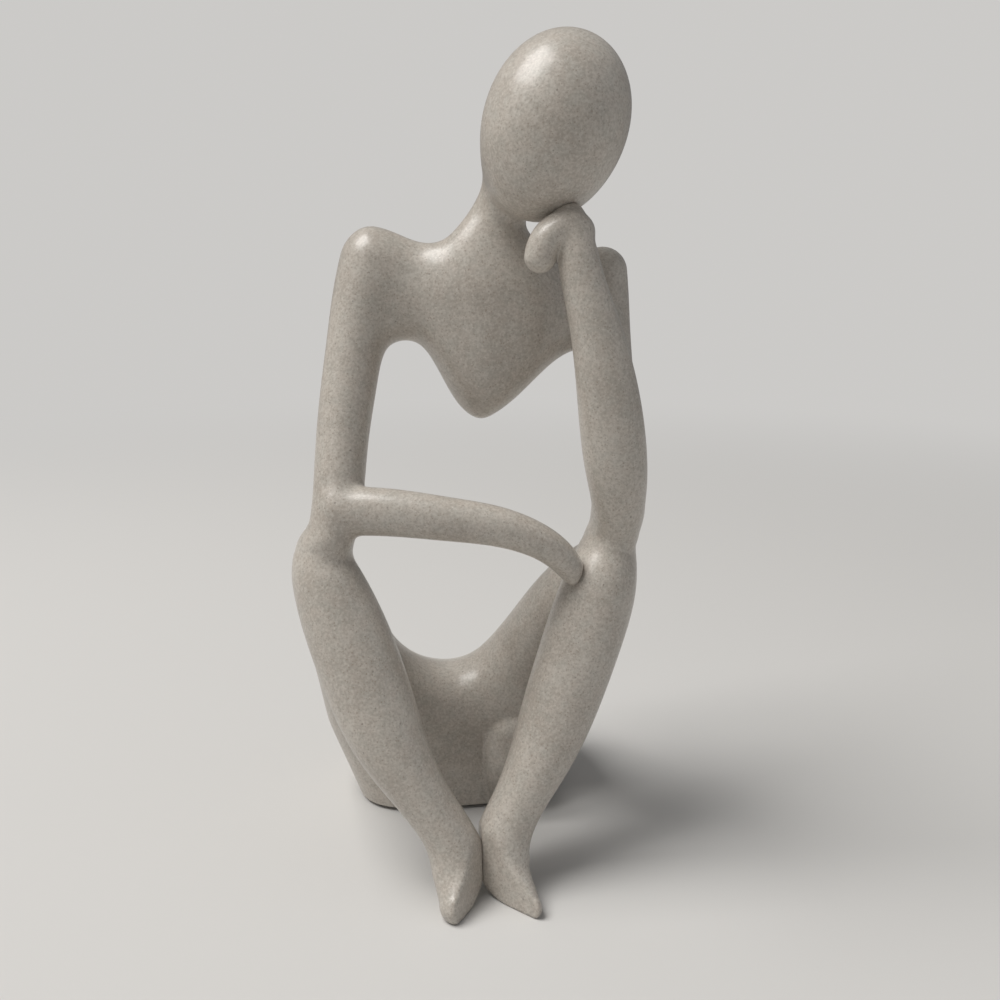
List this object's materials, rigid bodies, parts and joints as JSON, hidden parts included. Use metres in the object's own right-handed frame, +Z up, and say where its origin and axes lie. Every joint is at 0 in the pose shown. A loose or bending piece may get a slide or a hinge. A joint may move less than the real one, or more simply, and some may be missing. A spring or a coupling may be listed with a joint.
{
  "type": "thinker statue",
  "caption": "Abstract seated figure in speckled cast resin with a blank egg head, one hand under the chin and the other forearm laid across to the far knee.",
  "frame": {"origin": "on the floor under the middle of the statue's bounding box", "axes": "+Z up, the figure faces -Y, and its right hand side is -X"},
  "size_m": [0.1111, 0.1152, 0.2535],
  "materials": {
    "resin": "warm grey cast resin with fine dark and pale specks under a satin clear coat",
    "steel_wire": "drawn wire, plain",
    "felt": "thick black felt"
  },
  "bodies": {
    "root": {"head": "resin", "torso": "resin", "right_arm": "resin", "left_upper_arm": "resin", "left_forearm": "resin", "seat": "resin", "right_leg": "resin", "left_leg": "resin", "neck_rod": "steel_wire", "right_arm_wire": "steel_wire", "left_arm_wire": "steel_wire", "right_forearm_wire": "steel_wire", "left_forearm_wire": "steel_wire", "right_leg_wire": "steel_wire", "left_leg_wire": "steel_wire", "seat_pad": "felt"}
  },
  "joints": []
}
